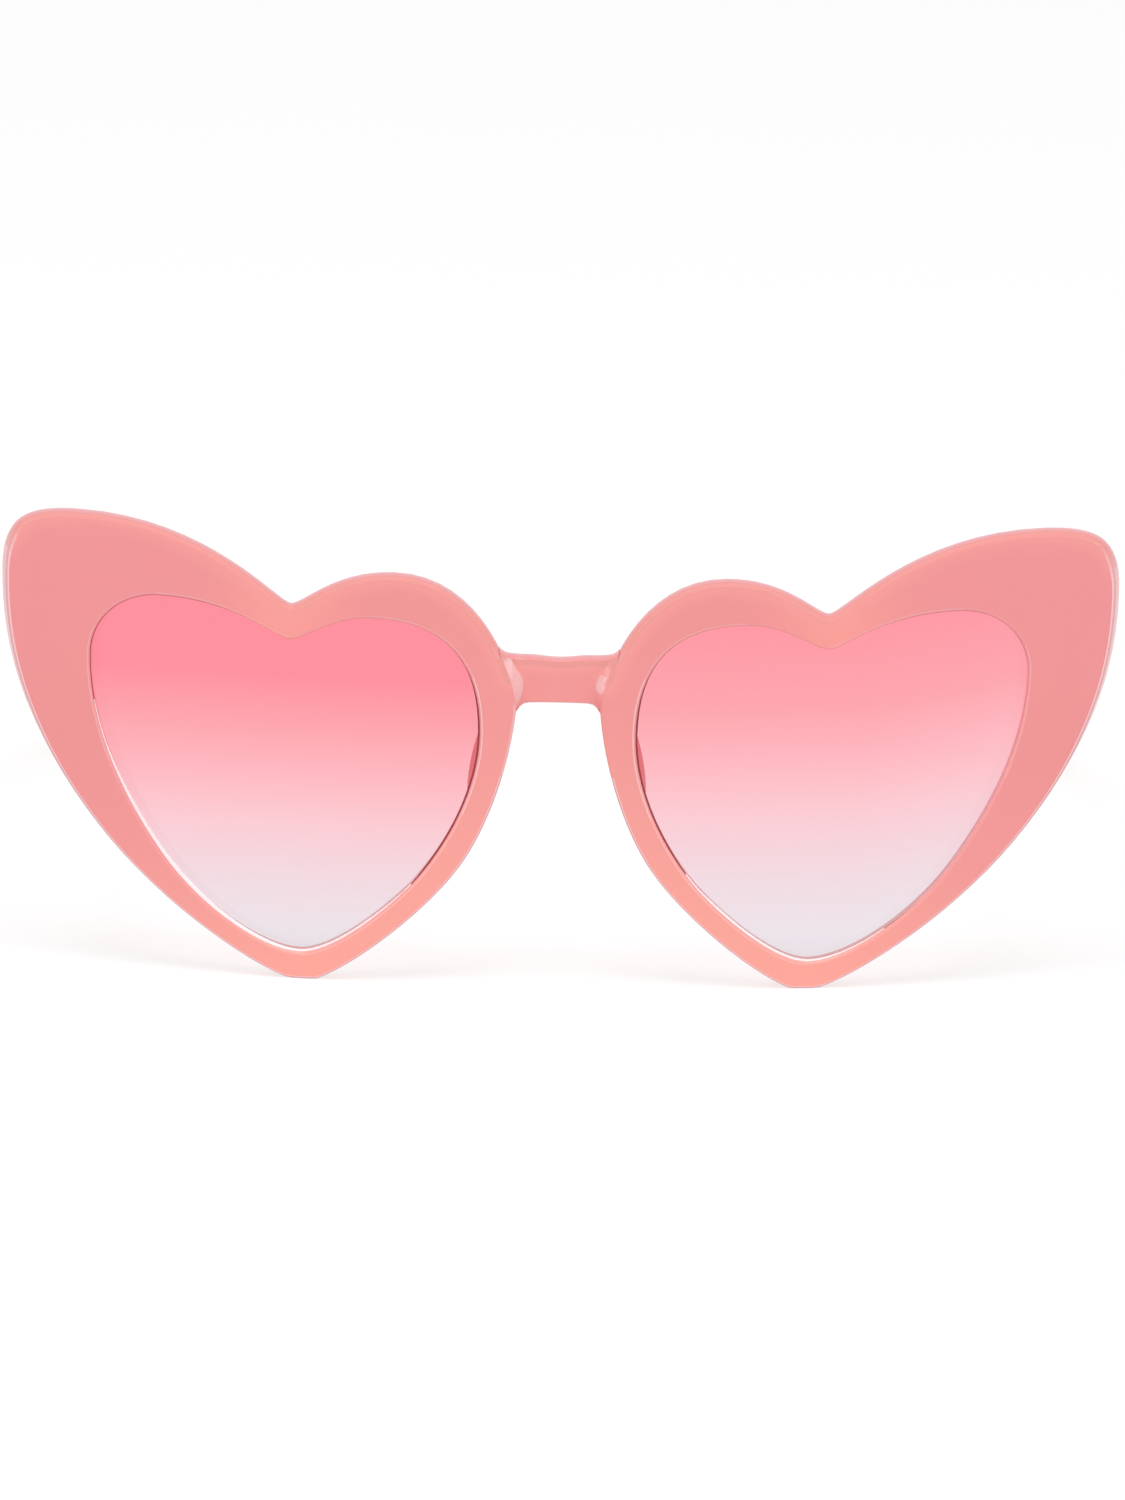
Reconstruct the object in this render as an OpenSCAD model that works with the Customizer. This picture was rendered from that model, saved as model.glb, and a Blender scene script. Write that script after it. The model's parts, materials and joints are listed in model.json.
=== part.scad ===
// Heart-shaped sunglasses standing on the tips of both hearts and of both temples.
// +Z is up, the front faces -Y, and +X is the wearer's left.
// The origin lies on the ground, in the middle of the width and of the depth.

/* [Lenses] */
// Width of each heart-shaped lens opening
lens_w = 51.9; // [44:0.1:58]
// Height of each lens opening
lens_h = 47.25; // [40:0.05:54]
// Distance between the two lens openings across the nose
lens_gap = 20.6; // [18:0.1:26]
// Thickness of a lens
lens_t = 1.8; // [1.4:0.1:2]
// Depth of the groove that holds the edge of a lens
groove = 0.8; // [0.5:0.1:1.2]
// Play between a lens and its groove
lens_clear = 0.05; // [0.02:0.01:0.1]

/* [Front] */
// Thickness of the front
front_t = 3.8; // [3.4:0.1:5]
// Radius that the front is bent to, seen from above
bend_r = 250; // [180:5:400]
// How far the face of a lens lies behind the face of the front
lens_in = 1; // [0.8:0.1:1.2]
// Width of the rim beside the nose
rim_w = 5; // [4:0.1:6]
// Height of the brow over the lens on the nose side
brow_w = 6; // [5:0.1:8]
// Width of the wing beside the lens
wing_w = 12; // [10.5:0.1:14]
// Height of the wing over the lens
wing_rise = 10.3; // [8.5:0.1:13]
// Depth of the flat that each heart tip stands on
tip_flat = 0.35; // [0.2:0.05:0.6]

/* [Bridge and nose] */
// Height of the bridge bar
bridge_h = 5.9; // [4.5:0.1:7]
// How far the bridge lies behind the face of the rims
bridge_in = 1; // [0.5:0.1:1.6]
// Length of a nose pad along the rim
pad_len = 15; // [11:0.5:18]
// Reach of a nose pad behind the front
pad_reach = 6; // [4:0.1:8]
// Thickness of a nose pad
pad_t = 1.8; // [1.4:0.1:2.4]
// Angle that a nose pad opens towards the face
pad_splay = 18; // [12:1:22]

/* [Hinges] */
// Height of a hinge
hinge_h = 7; // [6:0.1:8]
// Radius of a knuckle
knuckle_r = 1.5; // [1.3:0.05:1.8]
// Radius of the hinge screw's shank
pin_r = 0.7; // [0.5:0.05:0.8]
// Play round the hinge screw
pin_clear = 0.04; // [0.02:0.01:0.08]
// Play between knuckles, and between a knuckle and what it turns past
knuckle_clear = 0.12; // [0.05:0.01:0.25]
// Gap between the end of a temple and the front when open
butt_gap = 0.15; // [0.05:0.01:0.3]
// Thickness of a hinge leaf
leaf_t = 1; // [0.8:0.05:1.1]
// Length of the front leaf beside its knuckles
front_leaf_len = 4.5; // [4:0.1:5]
// Length of the temple leaf behind its knuckle
temple_leaf_len = 10; // [9:0.5:14]
// Height of the temple leaf
temple_leaf_h = 5.4; // [4:0.1:6]
// Radius of the leaf screws' shanks
screw_r = 0.6; // [0.45:0.05:0.65]
// Radius of the leaf screws' heads
screw_head_r = 1.05; // [0.9:0.05:1.15]
// Length of the leaf screws under their heads
screw_len = 2.8; // [2:0.1:3]
// Play round the leaf screws
screw_clear = 0.03; // [0.02:0.01:0.05]
// How far the hinge seat stands behind the wing
seat_out = 2.5; // [2:0.1:4]

/* [Temples] */
// Thickness of a temple
temple_t = 3.6; // [3.4:0.1:4.5]
// Height of a temple at its hinge
temple_h = 11.5; // [9:0.1:12.5]
// Height of a temple in front of the ear
temple_ear_h = 7; // [5.5:0.1:9]
// Length from the hinge to the bend over the ear
temple_len = 100; // [90:1:115]
// Length of the bend on each side of its corner
bend_len = 14; // [10:1:18]
// Radius of the rounded end of a temple
tip_r = 3.6; // [3:0.1:4.5]
// Slope of a temple down to the ear
temple_slope = 9.5; // [6:0.5:11]
// Slope behind the ear
drop_slope = 45; // [38:1:52]
// Angle that a temple closes in towards the head
temple_close = 1.2; // [0:0.1:3]
// Distance from the wing's outermost point in to the temple
temple_inset = 2.2; // [1.6:0.1:4]

/* [Hidden] */

frame_pink = [0.957, 0.596, 0.596];
lens_pink = [1, 0.66, 0.71, 0.55];
steel = [0.78, 0.78, 0.8];

curve_steps = 10;
bore_fn = 48;
bend_fn = 360;

// Outlines as shares, each row one point of a closed chain of smooth curves: a corner, then two handles.
// A row holds a share of the lens width and height, then one of the border's width and height.
lens_shares = [
    [0.49, 0.895], [0.525, 0.895], [0.63, 1],
    [0.825, 1], [0.92, 1], [1, 0.925],
    [1, 0.82], [1, 0.645], [0.935, 0.455],
    [0.805, 0.26], [0.7, 0.105], [0.54, 0],
    [0.45, 0], [0.375, 0], [0.255, 0.103],
    [0.168, 0.204], [0.078, 0.318], [0, 0.485],
    [0, 0.645], [0, 0.845], [0.09, 0.964],
    [0.283, 0.964], [0.385, 0.964], [0.452, 0.895],
];
cleft_shares = [
    [0.488, 0.895, 0, 0.715], [0.522, 0.895, 0, 0.715],
];
wing_shares = [
    [0.7, 1, 0, 1],
    [1, 1, 0.15, 1], [1, 1, 0.74, 1], [1, 1, 1, 0.82],
    [1, 1, 1, 0.17], [1, 0.8, 1, 0], [1, 0.575, 0.72, 0],
    [0.866, 0.328, 0.47, 0],
];
rim_shares = [
    [0.765, 0.197, 0.55, -0.67], [0.54, 0, -0.1, -0.78],
    [0.44, 0, 0, -0.78], [0.345, 0, 0.22, -0.78], [0.2, 0.17, -0.62, -0.55],
    [0.11, 0.28, -0.66, -0.18], [0.042, 0.387, -0.7, -0.12], [0, 0.56, -0.82, 0],
    [0, 0.715, -0.95, 0], [0, 0.79, -0.93, 0],
];
brow_shares = [
    [0, 0.963, -0.05, 0.97],
    [0.225, 0.963, 0, 0.97], [0.38, 0.963, 0, 0.97], [0.455, 0.895, 0, 0.715],
];
rim_tip_share = 0.78;

// The bridge bar as shares of half the nose gap and of the bar's height, and how far it runs into the rims
bridge_top_shares = [
    [0, 0.46], [0.35, 0.46], [0.45, 0.505],
    [0.7, 0.505], [1.3, 0.505], [1.42, 0.53], [1.5, 0.66],
];
bridge_low_shares = [
    [1.3, -1.15], [1.1, -0.9], [1.05, -0.53],
    [0.72, -0.525], [0.55, -0.52], [0.3, -0.515], [0, -0.515],
];
bridge_z_share = 0.8;

// The outline of a nose pad as shares of its reach and of its length
pad_shares = [
    [0, 0.5], [0.45, 0.5], [1, 0.42],
    [1, 0.06], [1, -0.28], [0.6, -0.5], [0, -0.5],
];
pad_z_share = 0.55;
pad_x_share = 0.44;
pad_lean = 15;

hinge_z_share = 1.025;
// The half height of a temple along its straight stretch, as shares of the way from its hinge to its ear height
taper_shares = [[0, 0], [0.15, 0.08], [0.6, 0.72], [1, 1]];
tip_swell_share = 1.06;
seat_margin = 1.2;
seat_round = 2.5;
neck_clear = 0.4;
overrun = 1;

// Where the lens openings lie
nasal_x = lens_gap / 2;
rim_foot = rim_tip_share * rim_w - tip_flat;
lens_top_z = rim_foot + lens_h;
half_w = nasal_x + lens_w + wing_w;
front_h = lens_top_z + wing_rise;
half_gap = nasal_x - rim_w;

// Where the hinges lie
hinge_z = rim_foot + hinge_z_share * lens_h;
hinge_set = knuckle_r + knuckle_clear;
temple_out_x = half_w - temple_inset;
hinge_x = temple_out_x - temple_t - hinge_set;
seat_depth = setback(temple_out_x) + front_t + seat_out;
leaf_start = knuckle_r + neck_clear;
leaf_end_x = hinge_x - leaf_start - front_leaf_len;
knuckle_h = (hinge_h - 2 * knuckle_clear) / 3;

// The middle line of a temple, seen from the side and measured from the hinge's axis
shaft_way = [cos(temple_slope), -sin(temple_slope)];
drop_way = [cos(drop_slope), -sin(drop_slope)];
drop_len = (hinge_z - temple_len * sin(temple_slope) - tip_r) / sin(drop_slope);
corner = temple_len * shaft_way;
bend_start = corner - bend_len * shaft_way;
bend_end = corner + bend_len * drop_way;
tip = corner + drop_len * drop_way;
bend_pull_share = 0.6;

// The whole depth, from the nose of the front to the end of a temple, which closes in a little
tip_y = cos(temple_close) * (tip[0] + tip_r) + sin(temple_close) * (hinge_set + temple_t);
depth = seat_depth + hinge_set + tip_y;
front_y = -depth / 2;
seat_y = front_y + seat_depth;
axis_y = seat_y + hinge_set;

function setback(x) = bend_r - sqrt(bend_r * bend_r - x * x);

function on_curve(p, t) =
    pow(1 - t, 3) * p[0] + 3 * pow(1 - t, 2) * t * p[1]
    + 3 * (1 - t) * t * t * p[2] + pow(t, 3) * p[3];

// The points of a chain of curves. A closed chain leads back to its first point.
function chain(points, closed = true) =
    let (n = len(points), last = closed ? n - 3 : n - 4)
    [for (i = [0:3:last], s = [0:curve_steps - 1])
        on_curve([for (k = [0:3]) points[(i + k) % n]], s / curve_steps)];

function placed(shares, side, rise) =
    [for (s = shares) [nasal_x + s[0] * lens_w + s[2] * side, rim_foot + s[1] * lens_h + s[3] * rise]];

lens_points = chain([for (s = lens_shares) [nasal_x + s[0] * lens_w, rim_foot + s[1] * lens_h]]);
heart_points = chain(concat(
    placed(cleft_shares, brow_w, brow_w),
    placed(wing_shares, wing_w, wing_rise),
    placed(rim_shares, rim_w, rim_w),
    placed(brow_shares, brow_w, brow_w)
));

bridge_z = rim_foot + bridge_z_share * lens_h;
function bridge_chain(shares) =
    let (points = [for (s = shares) [s[0] * half_gap, bridge_z + s[1] * bridge_h]])
    concat(chain(points, false), [points[len(points) - 1]]);
bridge_half = concat(bridge_chain(bridge_top_shares), bridge_chain(bridge_low_shares));
bridge_points = concat(
    bridge_half,
    [for (i = [len(bridge_half) - 2:-1:1]) [-bridge_half[i][0], bridge_half[i][1]]]
);

// Everything at the front hangs from these: a flat outline pushed back through it, and layers of the bent front.
module pushed_back() {
    rotate([90, 0, 0]) linear_extrude(depth / 2 + overrun) children();
}

module behind(layer) {
    translate([0, front_y + bend_r, -overrun])
        cylinder(h = front_h + 2 * overrun, r = bend_r - layer, $fn = bend_fn);
}

module bent(near, far) {
    intersection() {
        pushed_back() children();
        difference() {
            behind(near);
            behind(far);
        }
    }
}

module above_ground() {
    intersection() {
        translate([-half_w - overrun, front_y - overrun, 0])
            cube([2 * (half_w + overrun), depth + 2 * overrun, front_h + overrun]);
        children();
    }
}

module both_sides() {
    children();
    mirror([1, 0, 0]) children();
}

// Shifts what is made round a hinge's axis to the wearer's left hinge.
module at_hinge() {
    translate([hinge_x, axis_y, hinge_z]) children();
}

module lens_outline(grow) {
    offset(delta = grow) polygon(lens_points);
}

// One wing's seat for the hinge and the end of the temple, clear of the lens opening.
module hinge_seat() {
    seat_w = temple_out_x - leaf_end_x + seat_margin;
    difference() {
        intersection() {
            translate([leaf_end_x - seat_margin, seat_y, hinge_z - temple_h / 2])
                rotate([90, 0, 0])
                    linear_extrude(seat_depth) rounded_rectangle(seat_w, temple_h, seat_round);
            behind(front_t / 2);
        }
        pushed_back() lens_outline(seat_margin);
    }
}

module rounded_rectangle(w, h, r) {
    translate([r, 0]) square([w - 2 * r, h]);
    translate([0, r]) square([w, h - 2 * r]);
    for (x = [r, w - r], y = [r, h - r])
        translate([x, y]) circle(r = r, $fn = bore_fn);
}

module nose_pad() {
    back = (front_t - lens_in - lens_t + pad_reach) / cos(pad_splay);
    points = [for (s = pad_shares) [s[0] * back, s[1] * pad_len]];
    intersection() {
        translate([nasal_x - rim_w + pad_x_share * rim_w, front_y + lens_in + lens_t, rim_foot + pad_z_share * lens_h])
            rotate([0, -pad_lean, -pad_splay])
                rotate([90, 0, 90])
                    linear_extrude(pad_t) polygon(concat(chain(points, false), [points[len(points) - 1]]));
        behind(lens_in + lens_t + lens_clear);
    }
}

module front_frame() {
    color(frame_pink)
        difference() {
            above_ground() {
                union() {
                    both_sides() {
                        difference() {
                            bent(0, front_t) polygon(heart_points);
                            pushed_back() polygon(lens_points);
                            bent(lens_in - lens_clear, lens_in + lens_t + lens_clear) lens_outline(groove);
                        }
                        hinge_seat();
                        nose_pad();
                    }
                    bent(bridge_in, front_t) polygon(bridge_points);
                }
            }
            both_sides() at_hinge() at_front_screws() leaf_screw(screw_clear);
        }
}

module lens() {
    color(lens_pink) bent(lens_in, lens_in + lens_t) lens_outline(groove - lens_clear);
}

// A countersunk screw standing in a face at z = 0, with its shank pointing down, or the hole for it.
module leaf_screw(play) {
    sink = screw_head_r - screw_r;
    translate([0, 0, -sink])
        cylinder(h = sink, r1 = screw_r + play, r2 = screw_head_r + play, $fn = bore_fn);
    translate([0, 0, -sink - screw_len - play])
        cylinder(h = sink + screw_len + play, r = screw_r + play, $fn = bore_fn);
}

module slotted_screw() {
    color(steel)
        difference() {
            leaf_screw(0);
            translate([-screw_head_r - overrun, -screw_r / 4, -screw_r / 2])
                cube([2 * (screw_head_r + overrun), screw_r / 2, overrun]);
        }
}

// Puts one screw of a pair at each place of the front leaf, facing backwards.
module at_front_screws() {
    for (z = [-1, 1])
        translate([-leaf_start - front_leaf_len / 2, leaf_t - hinge_set, z * (hinge_h / 2 - screw_head_r - neck_clear / 2)])
            rotate([-90, 0, 0]) children();
}

module at_temple_screws() {
    for (share = [0.25, 0.75])
        turned_in()
            translate([hinge_set - leaf_t, leaf_start + share * temple_leaf_len, 0])
                rotate([0, -90, 0]) children();
}

module front_leaf_screws() {
    at_front_screws() slotted_screw();
}

module temple_leaf_screws() {
    at_temple_screws() slotted_screw();
}

module knuckle(low) {
    translate([0, 0, low]) cylinder(h = knuckle_h, r = knuckle_r, $fn = bore_fn);
}

module pin_bore() {
    translate([0, 0, -hinge_h]) cylinder(h = 2 * hinge_h, r = pin_r + pin_clear, $fn = bore_fn);
}

// Made round the hinge's axis: a plate on the seat, and two knuckles with necks that reach them.
module front_leaf() {
    outer_lows = [-hinge_h / 2, hinge_h / 2 - knuckle_h];
    color(steel)
        difference() {
            union() {
                translate([-leaf_start - front_leaf_len, -hinge_set, -hinge_h / 2])
                    cube([front_leaf_len, leaf_t, hinge_h]);
                for (low = outer_lows) {
                    knuckle(low);
                    translate([-leaf_start, -hinge_set, low]) cube([leaf_start, leaf_t, knuckle_h]);
                }
            }
            pin_bore();
            at_front_screws() leaf_screw(screw_clear);
        }
}

module turned_in() {
    rotate([0, 0, temple_close]) children();
}

module temple_leaf() {
    color(steel)
        difference() {
            union() {
                knuckle(-knuckle_h / 2);
                turned_in() {
                    translate([hinge_set - leaf_t, 0, -knuckle_h / 2])
                        cube([leaf_t, leaf_start, knuckle_h]);
                    translate([hinge_set - leaf_t, leaf_start, -temple_leaf_h / 2])
                        cube([leaf_t, temple_leaf_len, temple_leaf_h]);
                }
            }
            pin_bore();
            at_temple_screws() leaf_screw(screw_clear);
        }
}

module hinge_screw() {
    head_h = pin_r;
    head_r = knuckle_r - pin_clear;
    color(steel)
        difference() {
            union() {
                translate([0, 0, -hinge_h / 2]) cylinder(h = hinge_h, r = pin_r, $fn = bore_fn);
                translate([0, 0, hinge_h / 2]) cylinder(h = head_h, r = head_r, $fn = bore_fn);
            }
            translate([-knuckle_r, -pin_r / 4, hinge_h / 2 + head_h / 2])
                cube([2 * knuckle_r, pin_r / 2, head_h]);
        }
}

// The half height of a temple at a point of its straight stretch, given as a share of temple_len.
function shaft_half(share) = temple_h / 2 - (temple_h - temple_ear_h) / 2 * lookup(share, taper_shares);

// Rows of a point on the temple's middle line, the way it runs there, and half the temple's height there.
lead_share = -0.05;
bend_share = 1 - bend_len / temple_len;
shaft_shares = [for (i = [0:curve_steps - 1]) lead_share + (bend_share - lead_share) * i / curve_steps];
shaft_rows = [for (s = shaft_shares) [s * temple_len * shaft_way, shaft_way, shaft_half(s)]];
bend_points = [bend_start, bend_start + bend_pull_share * (corner - bend_start),
    bend_end + bend_pull_share * (corner - bend_end), bend_end];
bend_rows = [for (s = [0:curve_steps])
    let (t = s / curve_steps, way = (1 - t) * shaft_way + t * drop_way)
    [on_curve(bend_points, t), way / norm(way), (1 - t) * shaft_half(bend_share) + t * tip_swell_share * tip_r]];
temple_rows = concat(shaft_rows, bend_rows, [[tip, drop_way, tip_r]]);
temple_points = concat(
    [for (r = temple_rows) r[0] + r[2] * [-r[1][1], r[1][0]]],
    [for (i = [len(temple_rows) - 1:-1:0])
        temple_rows[i][0] - temple_rows[i][2] * [-temple_rows[i][1][1], temple_rows[i][1][0]]]
);

module temple() {
    color(frame_pink)
        difference() {
            turned_in()
                translate([hinge_set, 0, 0])
                    rotate([90, 0, 90])
                        union() {
                            linear_extrude(temple_t) polygon(temple_points);
                            translate([tip[0], tip[1], 0]) cylinder(h = temple_t, r = tip_r, $fn = bore_fn);
                        }
            translate([-depth, butt_gap - hinge_set - depth, -hinge_z])
                cube([2 * depth, depth, 2 * hinge_z]);
            at_temple_screws() leaf_screw(screw_clear);
        }
}

front_frame();
lens();  // left_lens
mirror([1, 0, 0]) lens();  // right_lens
at_hinge() front_leaf();  // left_front_leaf
mirror([1, 0, 0]) at_hinge() front_leaf();  // right_front_leaf
at_hinge() front_leaf_screws();  // left_front_leaf_screws
mirror([1, 0, 0]) at_hinge() front_leaf_screws();  // right_front_leaf_screws
at_hinge() hinge_screw();  // left_hinge_screw
mirror([1, 0, 0]) at_hinge() hinge_screw();  // right_hinge_screw
at_hinge() temple();  // left_temple
mirror([1, 0, 0]) at_hinge() temple();  // right_temple
at_hinge() temple_leaf();  // left_temple_leaf
mirror([1, 0, 0]) at_hinge() temple_leaf();  // right_temple_leaf
at_hinge() temple_leaf_screws();  // left_temple_leaf_screws
mirror([1, 0, 0]) at_hinge() temple_leaf_screws();  // right_temple_leaf_screws
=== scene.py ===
import json
import math

import bpy
from bpy.props import FloatProperty, FloatVectorProperty, PointerProperty
from mathutils import Matrix, Vector


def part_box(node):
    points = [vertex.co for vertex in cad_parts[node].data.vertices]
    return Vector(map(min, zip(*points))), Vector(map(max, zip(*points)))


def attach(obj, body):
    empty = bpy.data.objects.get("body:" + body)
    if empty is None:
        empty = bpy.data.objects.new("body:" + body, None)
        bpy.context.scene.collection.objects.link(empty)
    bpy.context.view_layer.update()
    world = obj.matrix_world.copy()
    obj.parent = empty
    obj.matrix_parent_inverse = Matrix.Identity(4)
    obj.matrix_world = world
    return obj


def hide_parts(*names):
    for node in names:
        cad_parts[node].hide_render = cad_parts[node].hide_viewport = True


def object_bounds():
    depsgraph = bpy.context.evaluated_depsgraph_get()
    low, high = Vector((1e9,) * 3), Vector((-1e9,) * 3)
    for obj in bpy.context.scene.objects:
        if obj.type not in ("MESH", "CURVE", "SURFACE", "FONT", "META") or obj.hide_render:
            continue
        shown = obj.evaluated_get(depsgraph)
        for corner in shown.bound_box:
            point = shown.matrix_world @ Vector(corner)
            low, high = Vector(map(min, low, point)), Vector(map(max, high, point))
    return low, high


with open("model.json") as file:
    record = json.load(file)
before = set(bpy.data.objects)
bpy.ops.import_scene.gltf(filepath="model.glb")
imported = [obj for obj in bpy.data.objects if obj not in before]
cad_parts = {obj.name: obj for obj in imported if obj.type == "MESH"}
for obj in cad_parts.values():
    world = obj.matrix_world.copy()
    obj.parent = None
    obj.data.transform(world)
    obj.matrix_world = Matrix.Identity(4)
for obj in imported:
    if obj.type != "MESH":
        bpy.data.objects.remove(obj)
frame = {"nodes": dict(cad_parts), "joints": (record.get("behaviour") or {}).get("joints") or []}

bl_info = {
    "name": "Heart Sunglasses",
    "version": (1, 0, 0),
    "blender": (4, 5, 0),
    "location": "3D View > Sidebar > Sunglasses",
    "description": "Dresses the solids of a pair of heart-shaped sunglasses",
    "category": "Object",
}

CAD_BOX = [list(corner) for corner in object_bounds()]
MM = 0.001

# The front's outlines, as in the solids: a share of the lens width and height, then one of the
# border's width and height. Every third row is a corner, and the two after it are its handles.
LENS_SHARES = [
    (0.49, 0.895), (0.525, 0.895), (0.63, 1),
    (0.825, 1), (0.92, 1), (1, 0.925),
    (1, 0.82), (1, 0.645), (0.935, 0.455),
    (0.805, 0.26), (0.7, 0.105), (0.54, 0),
    (0.45, 0), (0.375, 0), (0.255, 0.103),
    (0.168, 0.204), (0.078, 0.318), (0, 0.485),
    (0, 0.645), (0, 0.845), (0.09, 0.964),
    (0.283, 0.964), (0.385, 0.964), (0.452, 0.895),
]
CLEFT_SHARES = [(0.488, 0.895, 0, 0.715), (0.522, 0.895, 0, 0.715)]
WING_SHARES = [
    (0.7, 1, 0, 1),
    (1, 1, 0.15, 1), (1, 1, 0.74, 1), (1, 1, 1, 0.82),
    (1, 1, 1, 0.17), (1, 0.8, 1, 0), (1, 0.575, 0.72, 0),
    (0.866, 0.328, 0.47, 0),
]
RIM_SHARES = [
    (0.765, 0.197, 0.55, -0.67), (0.54, 0, -0.1, -0.78),
    (0.44, 0, 0, -0.78), (0.345, 0, 0.22, -0.78), (0.2, 0.17, -0.62, -0.55),
    (0.11, 0.28, -0.66, -0.18), (0.042, 0.387, -0.7, -0.12), (0, 0.56, -0.82, 0),
    (0, 0.715, -0.95, 0), (0, 0.79, -0.93, 0),
]
BROW_SHARES = [
    (0, 0.963, -0.05, 0.97),
    (0.225, 0.963, 0, 0.97), (0.38, 0.963, 0, 0.97), (0.455, 0.895, 0, 0.715),
]
RIM_TIP_SHARE = 0.78
# The bridge bar's half outline, as shares of half the nose gap and of the bar's height
BRIDGE_TOP_SHARES = [
    (0, 0.46), (0.35, 0.46), (0.45, 0.505),
    (0.7, 0.505), (1.3, 0.505), (1.42, 0.53), (1.5, 0.66),
]
BRIDGE_LOW_SHARES = [
    (1.3, -1.15), (1.1, -0.9), (1.05, -0.53),
    (0.72, -0.525), (0.55, -0.52), (0.3, -0.515), (0, -0.515),
]
BRIDGE_Z_SHARE = 0.8
# Widths of the slanted facets at the bridge's ends, at shares of the bar's height, in shares of the wider one
LEFT_FACET_SHARES = [(0, 0.1), (0.1, 0.4), (0.3, 0.7), (0.5, 0.85), (0.65, 0.82), (0.82, 0.7), (1, 0.55)]
RIGHT_FACET_SHARES = [(0, 0.1), (0.1, 0.45), (0.3, 0.8), (0.5, 1), (0.65, 0.97), (0.82, 0.82), (1, 0.66)]
PAD_SHARES = [
    (0, 0.5), (0.45, 0.5), (1, 0.42),
    (1, 0.06), (1, -0.28), (0.6, -0.5), (0, -0.5),
]
PAD_Z_SHARE, PAD_X_SHARE = 0.55, 0.44
PAD_STEPS, PAD_ROUND_SHARE, PAD_FOOT = 10, 0.42, 0.1 * MM

# Edges that turn by more than the first are rounded, and faces by less than the second are shaded as one.
SHARP_ANGLE, SMOOTH_ANGLE = math.radians(50), math.radians(32)
# A face whose normal has less than the first share of a way hardly looks there, and over the second it does.
HARDLY, FACING = 0.3, 0.9
# From which turn on an outer wall looks aside or up, and how much further it does so fully
ASIDE_FROM, ASIDE_OVER, UP_FROM, UP_OVER = 0.62, 0.3, 0.35, 0.4
# The squares of the bridge bar's grid, and the shares of its half width between which its facets lie
BAR_ACROSS, BAR_UP, FACET_IN_SHARE, FACET_OUT_SHARE = 32, 14, 0.625, 0.75
# How far the bar laps into a rim, its depth there and at its hidden end, how far its back stays inside the
# front's, and how much a face looks up or down where its edges are rounded
BAR_LAP, BAR_RIM_IN, BAR_END_IN, BAR_BACK_IN, BAR_LEVEL = 0.2 * MM, 0.05 * MM, 0.5 * MM, 0.1 * MM, 0.6
# The rounding of a hinge seat's back, and the depth of the cut that keeps the seat off the lens
SEAT_EDGE, CUT_DEPTH = 0.35 * MM, 0.1
SEAT_SLICES, LENS_SLICES = 10, 24

# The marks on the front's mesh that its material reads
EDGE_LIGHT_MARK, TURN_MARK, SATIN_MARK, TOP_LIGHT_MARK = "painted_edge_light", "edge_turn", "satin_pink", "top_lit_pink"
# How far a warmer painted light from above reaches from the edges that face up, and its mark's value at the
# face there
TOP_LIGHT_W, TOP_LIGHT_SPLIT = 2.5 * MM, 0.5
# Faces that look forwards by more than the first share are flat, and outer ones under the second are walls.
FLAT_SLANT, WALL_SLANT = 0.999, 0.2
# How strongly the painted highlight shows on the openings' edges beside the nose and beside the wings, and
# the shares of that on an edge that looks up or down, which is one of this turn, and on the back of the
# rounding
NOSE_HIGHLIGHT, WING_HIGHLIGHT, LEVEL_HIGHLIGHT_SHARE, LEVEL_TURN, BACK_HIGHLIGHT_SHARE = 0.8, 0.35, 0.45, 0.4, 0.45
# The depth that the painted highlight on the outer edges reaches to, from which turn upwards they are satin
# instead and how much further fully, and how much of a face's slant brings the satin in
HIGHLIGHT_REACH, SATIN_FROM, SATIN_OVER, SATIN_SLANT = 1.1 * MM, 0.2, 0.3, 0.1
# The bridge's facets lie between these places. The right one has a painted highlight all over, and the left
# one in one spot.
FACET_START, FACET_END, FACET_HIGHLIGHT = 4.2 * MM, 7.4 * MM, 0.4
GLINT_X, GLINT_W, GLINT_Z, GLINT_H = 5.2 * MM, 0.9 * MM, 41 * MM, 2.5 * MM
# The middle of the brow at a heart's cleft, and how far the painted highlight reaches round it
CLEFT_X, CLEFT_Z, CLEFT_REACH = 36.5 * MM, 47.6 * MM, 14 * MM

# The share of the light that polycarbonate mirrors when it is seen straight on
LENS_MIRROR = 0.05
# The share of the dipped height at which each lens has its full tint
LEFT_FULL_SHARE, RIGHT_FULL_SHARE = 1, 0.79
# How far the dye line wanders, how far outside its middle a tilted lens's line starts to rise, and how widely
DYE_WANDER, TILT_FROM, TILT_W = 0.8 * MM, 4 * MM, 20 * MM
# A lens edge rises this near to the face of the front, and meets the rim this far behind its opening.
EDGE_DEPTH, EDGE_HOLD = 0.3 * MM, 0.25 * MM
# How wide the lens edge shows inside its opening, in millimetres, at places round the outline: the
# cleft is 0, the outer side 2, the tip 4 and the nose side 6.
LEFT_EDGE = [
    (0, 0.08), (0.5, 0.12), (0.8, 0.16), (1.1, 0.16), (1.5, 0.1), (1.85, 0.06), (2, 0), (3.2, 0), (3.7, 0.12),
    (4.1, 0.22), (4.8, 0.25), (5.1, 0.1), (5.3, 0.2), (6.1, 0.25), (6.4, 0.12), (8, 0.08),
]
RIGHT_EDGE = [
    (0, 0.08), (0.5, 0.12), (0.8, 0.18), (1.1, 0.18), (1.6, 0.14), (2.2, 0.08), (2.45, 0.14), (2.75, 0.34),
    (3.2, 0.46), (3.6, 0.36), (4, 0.22), (4.6, 0.16), (4.95, 0.05), (5.15, 0.2), (6.1, 0.25), (6.4, 0.12),
    (8, 0.08),
]
# Between these places the edge is painted white as a reflection of the light, and elsewhere dark as the
# shadow of the groove.
LEFT_WHITE, RIGHT_WHITE = (3.4, 5.1), (2.2, 5.0)

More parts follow.
